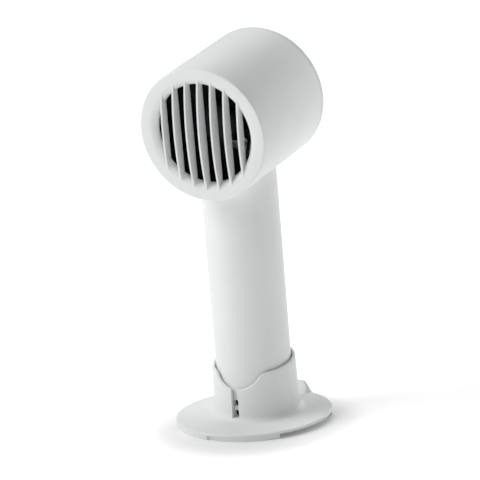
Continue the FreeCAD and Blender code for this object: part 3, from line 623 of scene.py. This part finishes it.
def lead_gasket():
    """A soft black strip that fills the way cut in the duct for the two leads."""
    inner, outer, ease = 24.45 * MM, 25.5 * MM, 0.2 * MM
    front, rear, half_turn, steps = -2.4 * MM, 15.8 * MM, 13.6, 18
    section = softened([(inner, front, ease), (outer, front, ease),
                        (outer, rear, ease), (inner, rear, ease)], 3)
    columns = []
    for n in range(steps + 1):
        angle = math.radians(half_turn * (2 * n / steps - 1))
        columns.append([HEAD @ Vector((p.x * math.sin(angle), p.x * math.cos(angle), p.y))
                        for p in section])
    piece("lead_gasket", *web(columns, closed=False), "fan", MATERIALS["black_plastic"],
          "black_plastic")


# ------------------------------------------------------------------------------ the fan wheel
def fan_blade(bearing):
    """A twisted blade of aerofoil section, thickest a third of the way along its chord."""
    hub, tip = 8.4 * MM, 23.6 * MM
    middle = span("impeller", HEAD)[0].z + 6 * MM
    spans, chord_steps = 14, 14
    turn = HEAD @ Matrix.Rotation(math.radians(bearing), 4, "Z")
    columns = []
    for n in range(spans + 1):
        share = n / spans
        radius = hub + (tip - hub) * share
        pitch = math.radians(50 - 26 * share)
        half = (5.4 + 1.6 * share - 1.2 * max(0.0, share - 0.85) / 0.15) * MM
        along = Vector((0, math.cos(pitch), math.sin(pitch)))
        across = Vector((0, -math.sin(pitch), math.cos(pitch)))
        loop = []
        for k in range(2 * chord_steps):
            angle = FULL_TURN * k / (2 * chord_steps)
            place = math.cos(angle)
            camber = 0.8 * MM * (1 - place**2)
            thick = 0.62 * MM * math.sin(angle) * (1 - 0.35 * place)
            spot = along * half * place + across * (camber + thick)
            loop.append(turn @ (Vector((radius, 0, middle)) + spot))
        columns.append(loop)
    return web(columns, closed=False)


def fan_wheel():
    front = span("impeller", HEAD)[0].z
    hub, skirt = 9 * MM, 1.2 * MM
    nose = [Vector((0, front)), *[Vector((hub * math.sin(a), front + 3.0 * MM * (1 - math.cos(a))))
                                  for a in (math.pi / 2 * n / 12 for n in range(1, 13))]]
    outline = nose + [Vector((hub, front + 12 * MM)), Vector((hub - skirt, front + 12 * MM)),
                      Vector((hub - skirt, front + 4.2 * MM)), Vector((1.02 * MM, front + 4.2 * MM)),
                      Vector((1.02 * MM, front + 3.2 * MM)), Vector((0, front + 3.2 * MM))]
    parts = [lathe(outline, HEAD, 96)] + [fan_blade(bearing) for bearing in range(30, 390, 72)]
    wheel = piece("fan_wheel", *joined(*parts), "rotor", MATERIALS["blade_plastic"], "blade_plastic")
    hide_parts("impeller")


# ------------------------------------------------------------------------------ the stand
RIM_SLOPE, DIP_RADIUS, DIP_BOTTOM = math.radians(8.5), 12 * MM, 17.7 * MM
SLIT_WIDTH, SLIT_BOTTOM, SLIT_BEARING = 3.4 * MM, 4.7 * MM, math.radians(-2.9)


def collar_radius(z):
    return COLLAR_FOOT + (COLLAR_TOP - COLLAR_FOOT) * z / (40 * MM)


def soft_min(a, b, blend):
    near = max(blend - abs(a - b), 0) / blend
    return min(a, b) - near**2 * blend / 4


def rim_height(bearing):
    """The rim falls towards the front, and dips in a round notch at the very front."""
    radius = 17.8 * MM
    x, y = radius * math.sin(bearing), -radius * math.cos(bearing)
    level = 22.2 * MM + (y + 30 * MM) * math.tan(RIM_SLOPE)
    if y > 0 or abs(x) >= DIP_RADIUS:
        return level
    dip = DIP_BOTTOM + DIP_RADIUS - math.sqrt(DIP_RADIUS**2 - x**2)
    return soft_min(level, dip, 2.2 * MM)


def stand_column(bearing):
    """The stand's outline at one bearing of the collar, as points in the row frame."""
    top = rim_height(bearing)
    outer = collar_radius(top)
    half = (outer - COLLAR_BORE) / 2
    fillet, floor_ease = 3.2 * MM, 0.5 * MM
    wall_rows = 10
    foot = PLATE_TOP + fillet
    profile = [(0.0, SOCKET_FLOOR)]
    profile += [(COLLAR_BORE - floor_ease * (1 - math.sin(a)),
                 SOCKET_FLOOR + floor_ease * (1 - math.cos(a)))
                for a in (math.pi / 2 * n / 3 for n in range(4))]
    low = SOCKET_FLOOR + floor_ease
    profile += [(COLLAR_BORE, low + (top - half - low) * n / wall_rows) for n in range(1, wall_rows)]
    profile += [(outer - half - half * math.cos(a), top - half + half * math.sin(a))
                for a in (math.pi * n / 10 for n in range(11))]
    for n in range(1, wall_rows + 1):
        z = top - half + (foot - top + half) * n / wall_rows
        profile.append((collar_radius(z), z))
    centre = collar_radius(foot) + fillet
    profile += [(centre - fillet * math.cos(a), foot - fillet * math.sin(a))
                for a in (math.pi / 2 * n / 8 for n in range(1, 9))]
    way = Vector((math.sin(bearing), -math.cos(bearing), 0))
    points = [HANDLE @ (way * r + Vector((0, 0, z))) for r, z in profile]
    last = points[-1]
    brim_start = PLATE_RADIUS - 3 * MM
    edge = softened([(brim_start, PLATE_TOP, 0), (PLATE_RADIUS, PLATE_TOP, 0.5 * MM),
                     (PLATE_RADIUS, PLATE_UNDER, 0.25 * MM), (brim_start, PLATE_UNDER, 0)], 5)
    brim = [way * p.x + Vector((0, 0, p.y)) for p in edge]
    points += [last.lerp(brim[0], n / 4) for n in range(1, 4)] + brim
    under = Vector((0, HANDLE.translation.y, PLATE_UNDER))
    points += [brim[-1].lerp(under, 0.5), under]
    return points


def skirt_arc(first, last, set_in=0.3 * MM):
    """A length of the skirt that carries the plate, with eased lower edges."""
    outer = PLATE_RADIUS - set_in
    width = 3.1 * MM - set_in
    ease = 0.25 * MM
    outline = softened([(outer - width, 0, ease), (outer, 0, ease), (outer, PLATE_UNDER + 0.15 * MM, 0),
                        (outer - width, PLATE_UNDER + 0.15 * MM, 0)], 3)
    steps = max(8, round(abs(last - first) / 1.5))
    columns = []
    for n in range(steps + 1):
        bearing = math.radians(first + (last - first) * n / steps)
        way = Vector((math.sin(bearing), -math.cos(bearing), 0))
        columns.append([way * p.x + Vector((0, 0, p.y)) for p in outline])
    return web(columns, closed=False)


LIP_TOP, LIP_HALF, LIP_THICK = 8.5 * MM, 10.4 * MM, 1.3 * MM


def lip_height(x):
    """The lip's top edge: level in the middle, with soft shoulders that sweep out to the brim."""
    full, shoulder, hollow = LIP_TOP - 0.3 * MM, LIP_HALF - 2.2 * MM, LIP_HALF + 3.4 * MM
    share = min(1.0, max(0.0, (abs(x) - shoulder) / (hollow - shoulder)))
    ease = share**2 * (3 - 2 * share)
    return full + (PLATE_TOP - 0.1 * MM - full) * ease


def rear_lip():
    """The brim bends up at the back into a short lip that slopes outwards as it rises."""
    inner = [(p.x, p.y) for p in bow((PLATE_RADIUS - 5 * MM, PLATE_TOP - 0.05 * MM),
                                     (PLATE_RADIUS - LIP_THICK + 0.2 * MM, LIP_TOP), -0.95 * MM, 24)]

    def inner_radius(z):
        for (r0, z0), (r1, z1) in zip(inner, inner[1:]):
            if z <= z1:
                return r0 + (r1 - r0) * max(0.0, (z - z0)) / (z1 - z0)
        return inner[-1][0]

    columns = []
    reach = LIP_HALF + 3.4 * MM
    steps = 56
    for n in range(steps + 1):
        x = reach * (2 * n / steps - 1)
        top = lip_height(x)
        outer = PLATE_RADIUS - 0.02 * MM
        ease = min(0.5 * MM, (outer - inner_radius(top)) / 2,
                   max(0.02 * MM, top - PLATE_TOP + 0.15 * MM))
        profile = [(PLATE_RADIUS - 5 * MM, PLATE_UNDER + 0.5 * MM)]
        low = PLATE_TOP - 0.1 * MM
        for k in range(13):
            z = low + (top - ease - low) * k / 12
            profile.append((inner_radius(z), z))
        start = profile[-1][0]
        wide = (outer - start) / 2
        profile += [(start + wide * (1 - math.cos(a)), top - ease + ease * math.sin(a))
                    for a in (math.pi * q / 8 for q in range(1, 9))]
        profile.append((outer, PLATE_UNDER + 0.5 * MM))
        bearing = math.asin(x / PLATE_RADIUS)
        way = Vector((math.sin(bearing), math.cos(bearing), 0))
        columns.append([way * r + Vector((0, 0, z)) for r, z in profile])
    return web(columns, closed=False)


# Bearings in degrees where each length of the skirt starts and ends. The second is the notch in
# the front length, which is set in further.
SKIRT_ARCS = ((-46, -10), (-11, -1, 1.2 * MM), (-2.2, 46), (112, 248))


def stand_shell():
    columns = [stand_column(math.radians(degree)) for degree in range(360)]
    stand = loose("stand_shell", *web(columns, closed=True))
    arcs = [loose("skirt", *skirt_arc(*arc)) for arc in SKIRT_ARCS]
    stand = combined(stand, arcs + [loose("lip", *rear_lip())], "UNION")
    slit = Matrix.Rotation(SLIT_BEARING, 4, "Z")
    outline = rounded_box(SLIT_WIDTH, 12 * MM, 0.01 * MM, 1)
    cutter = loose("slit", *prism(outline, HANDLE @ slit @ Matrix.Translation((0, -18 * MM, 0)),
                                  SLIT_BOTTOM, 40 * MM))
    stand = combined(stand, [cutter], "DIFFERENCE")

    def at_the_slit(spot):
        local = HANDLE.inverted() @ spot
        return abs(math.atan2(local.x, -local.y) - SLIT_BEARING) < math.radians(9) and (
            local.z > SLIT_BOTTOM - 0.2 * MM and local.y < -12 * MM)
    eased(stand, 0.22 * MM, at_the_slit, 3)
    finish_piece(stand, "stand", MATERIALS["white_plastic"])
    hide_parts("stand_base")


def stand_feet():
    """Round pads with a shallow ring pressed into the face that grips the table."""
    parts = []
    radius, top = 3.5 * MM, PLATE_UNDER - 0.01 * MM
    outline = softened([(0.0, 0.25 * MM, 0), (1.4 * MM, 0.25 * MM, 0.1 * MM), (1.6 * MM, 0.0, 0.1 * MM),
                        (radius, 0.0, 0.3 * MM), (radius, top, 0.1 * MM), (0.0, top, 0)], 3)
    spread_radius = 24 * MM
    for degrees in (45, 135, 225, 315):
        bearing = math.radians(degrees)
        place = Matrix.Translation((spread_radius * math.cos(bearing),
                                    spread_radius * math.sin(bearing), 0))
        parts.append(lathe(outline, place, 64))
    feet = piece("stand_feet", *joined(*parts), "stand", MATERIALS["foot_rubber"], "foot_rubber")
    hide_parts("stand_pads")


# ------------------------------------------------------------------------------ key and port
def power_key():
    """A round key whose face follows the grip and is dished for a fingertip."""
    low, high = span("power_button", HANDLE)
    height = (low.z + high.z) / 2
    radius, flange, crown = 4.6 * MM, 5.8 * MM, high.y
    rings, steps = 10, 72

    def surface(share, angle):
        rho = radius * share
        x, z = rho * math.cos(angle), rho * math.sin(angle)
        y = math.sqrt(crown**2 - x**2)
        dish = 0.35 * MM * max(0.0, 1 - (share / 0.78)**2)
        edge = 0.30 * MM * max(0.0, (share - 0.90) / 0.10)**2
        return Vector((x, y - dish - edge, height + z))

    columns = []
    for s in range(steps):
        angle = FULL_TURN * s / steps
        column = [surface(r / rings, angle) for r in range(rings + 1)]
        way = Vector((math.cos(angle), 0, math.sin(angle)))
        seat = Vector((0, 0, height))
        for rho, y in ((radius, 14.1 * MM), (flange, 14.05 * MM),
                       (flange, 13.3 * MM), (0.0, 13.3 * MM)):
            x = rho * math.cos(angle)
            limit = math.sqrt(max(0.0, (GRIP_FOOT - GRIP_WALL - 0.5 * MM)**2 - x**2))
            column.append(seat + way * rho + Vector((0, min(y, limit) if rho > radius else y, 0)))
        columns.append([HANDLE @ p for p in column])
    key = piece("power_key", *web(columns), "button", MATERIALS["button_plastic"], "button_plastic", 40)
    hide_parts("power_button")


def track(outline_of, half_straight, round_radius, matrix, steps=12):
    """An outline carried round a racetrack: two level straights joined by half rounds."""
    stations = []
    for side in (1, -1):
        for n in range(steps + 1):
            angle = math.pi * n / steps - math.pi / 2
            normal = Vector((side * math.cos(angle), side * math.sin(angle)))
            stations.append((Vector((side * half_straight, 0)), normal))
    columns = []
    for centre, normal in stations:
        columns.append([matrix @ Vector((centre.x + normal.x * (round_radius + p.x),
                                         centre.y + normal.y * (round_radius + p.x), p.y))
                        for p in outline_of])
    return web(columns)


def charge_socket():
    """The inlet's drawn shell, with a rolled mouth, and its closed back."""
    low, high = span("charge_port", HANDLE)
    z = (low.z + high.z) / 2
    wall = 0.32 * MM
    outline = softened([(-wall, low.y, 0), (0.0, low.y, 0), (0.0, high.y, 0.12 * MM),
                        (-wall, high.y, 0.12 * MM)], 4)
    shell = track(outline, 2.84 * MM, 1.63 * MM, facing(0, z))
    back = prism(rounded_box(8.3 * MM, 2.6 * MM, 1.29 * MM, 10), facing(0, z),
                 low.y, low.y + 0.5 * MM)
    socket = piece("charge_socket", *joined(shell, back), "fan", MATERIALS["steel"], "steel",
                   weld=False)
    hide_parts("charge_port")


def port_contacts():
    """Gold-coloured strips on both faces of the tongue."""
    low, high = span("port_tongue", HANDLE)
    parts = []
    for side in (1, -1):
        z = high.z if side > 0 else low.z
        for n in range(8):
            x = (n - 3.5) * 0.75 * MM
            plate = rounded_box(0.34 * MM, 0.05 * MM, 0.02 * MM, 2)
            parts.append(prism(plate, facing(x, z), low.y + 0.8 * MM, high.y - 0.5 * MM))
    piece("port_contacts", *joined(*parts), "fan", MATERIALS["bronze"], "bronze", weld=False)


for make in (grip_shell, drum_shell, front_grille, rear_cover, lead_gasket, fan_wheel, stand_shell,
             stand_feet, power_key, charge_socket, port_contacts):
    make()


# ------------------------------------------------------------------------------ floor and lights
# Centre and radii of the painted shade on the floor: the glow fades out towards this centre, standing in for the
# stand's contact shadow.
PAINTED_SHADE_CENTRE = (3 * MM, -8 * MM, 0)
PAINTED_SHADE_START, PAINTED_SHADE_END = 34 * MM, 54 * MM


def floor():
    """Pale paper that glows a little, except in a soft-edged round painted shade under the stand, which stands in
    for its contact shadow.
    """
    mesh = bpy.data.meshes.new("floor")
    reach = 6.0
    corners = [(-reach, -reach, 0), (reach, -reach, 0), (reach, reach, 0), (-reach, reach, 0)]
    mesh.from_pydata(corners, [], [(0, 1, 2, 3)])
    obj = bpy.data.objects.new("floor", mesh)
    bpy.context.scene.collection.objects.link(obj)
    material, nodes, links, shader = new_material("floor_paper_painted_shade")
    fibre = noise(nodes, links, 60, 6)
    links.new(tint(nodes, links, fibre, (0.93, 0.93, 0.93), (0.94, 0.94, 0.94)).outputs["Color"],
              shader.inputs["Base Color"])
    shader.inputs["Roughness"].default_value = 0.95
    shader.inputs["Specular IOR Level"].default_value = 0.1
    shader.inputs["Emission Color"].default_value = (1, 1, 1, 1)
    where = nodes.new("ShaderNodeTexCoord")
    painted_shade_offset = nodes.new("ShaderNodeVectorMath")
    painted_shade_offset.operation = "SUBTRACT"
    painted_shade_offset.inputs[1].default_value = PAINTED_SHADE_CENTRE
    links.new(where.outputs["Object"], painted_shade_offset.inputs[0])
    painted_shade_distance = nodes.new("ShaderNodeVectorMath")
    painted_shade_distance.operation = "LENGTH"
    links.new(painted_shade_offset.outputs["Vector"], painted_shade_distance.inputs[0])
    # Painted shade: the glow is low within the shade's start radius and rises smoothly to full beyond its end
    # radius.
    glow_and_painted_shade = nodes.new("ShaderNodeMapRange")
    glow_and_painted_shade.interpolation_type = "SMOOTHSTEP"
    glow_and_painted_shade.inputs["From Min"].default_value = PAINTED_SHADE_START
    glow_and_painted_shade.inputs["From Max"].default_value = PAINTED_SHADE_END
    glow_and_painted_shade.inputs["To Min"].default_value = 0.05
    glow_and_painted_shade.inputs["To Max"].default_value = 0.33
    links.new(painted_shade_distance.outputs["Value"], glow_and_painted_shade.inputs["Value"])
    links.new(glow_and_painted_shade.outputs["Result"], shader.inputs["Emission Strength"])
    mesh.materials.append(material)


def softbox(name, bearing, elevation, power, aim, width=0.9, distance=1.7):
    """A square area light, placed by its bearing from the front and its elevation from its aim."""
    light = bpy.data.lights.new(name, "AREA")
    light.shape = "SQUARE"
    light.size = width
    light.energy = power
    obj = bpy.data.objects.new(name, light)
    turn, lift = math.radians(bearing), math.radians(elevation)
    obj.location = aim + distance * Vector((math.sin(turn) * math.cos(lift),
                                            -math.cos(turn) * math.cos(lift), math.sin(lift)))
    obj.rotation_mode = "QUATERNION"
    obj.rotation_quaternion = (aim - obj.location).to_track_quat("-Z", "Y")
    bpy.context.scene.collection.objects.link(obj)
    return obj


def surroundings(strength):
    world = bpy.data.worlds.new("studio")
    world.use_nodes = True
    world.node_tree.nodes["Background"].inputs["Color"].default_value = (1, 1, 1, 1)
    world.node_tree.nodes["Background"].inputs["Strength"].default_value = strength
    bpy.context.scene.world = world


def camera():
    """Above and to the right of the front, with the slight roll of the photograph."""
    azimuth, elevation, roll = (math.radians(v) for v in (28.72, 14.49, 4.75))
    target = HANDLE @ Vector((0, 0, 75 * MM))
    back = Vector((math.sin(azimuth) * math.cos(elevation),
                   -math.cos(azimuth) * math.cos(elevation), math.sin(elevation)))
    right = Vector((math.cos(azimuth), math.sin(azimuth), 0))
    up = back.cross(right)
    across = right * math.cos(roll) - up * math.sin(roll)
    upright = right * math.sin(roll) + up * math.cos(roll)
    data = bpy.data.cameras.new("camera")
    data.sensor_width = 36
    data.lens = 273.5
    data.shift_x, data.shift_y = -0.0100, 0.0268
    data.clip_end = 60
    obj = bpy.data.objects.new("camera", data)
    obj.matrix_world = Matrix.Translation(target + back * 1.6) @ Matrix(
        (across, upright, back)).transposed().to_4x4()
    bpy.context.scene.collection.objects.link(obj)
    bpy.context.scene.camera = obj


# Name, bearing from the front, elevation, and power in watts.
LIGHTS = (
    ("key_left", -50, 38, 14.2),
    ("side_left", -80, 38, 6.6),
    ("back_left", -150, 38, 4.0),
    ("back", 180, 12, 6.8),
    ("back_right", 150, 12, 4.9),
    ("side_right", 112, 28, 2.0),
    ("front_high", 10, 64, 3.3),
    ("front", 42, 12, 2.3),
    ("top", 180, 75, 4.6),
)


def studio():
    """Soft boxes all round the table, brightest at the front left, with one overhead."""
    for name, bearing, elevation, power in LIGHTS:
        softbox(name, bearing, elevation, power, (cad_low + cad_high) / 2)


floor()
studio()
surroundings(0.02)
camera()
bpy.context.scene.view_settings.view_transform = "Standard"
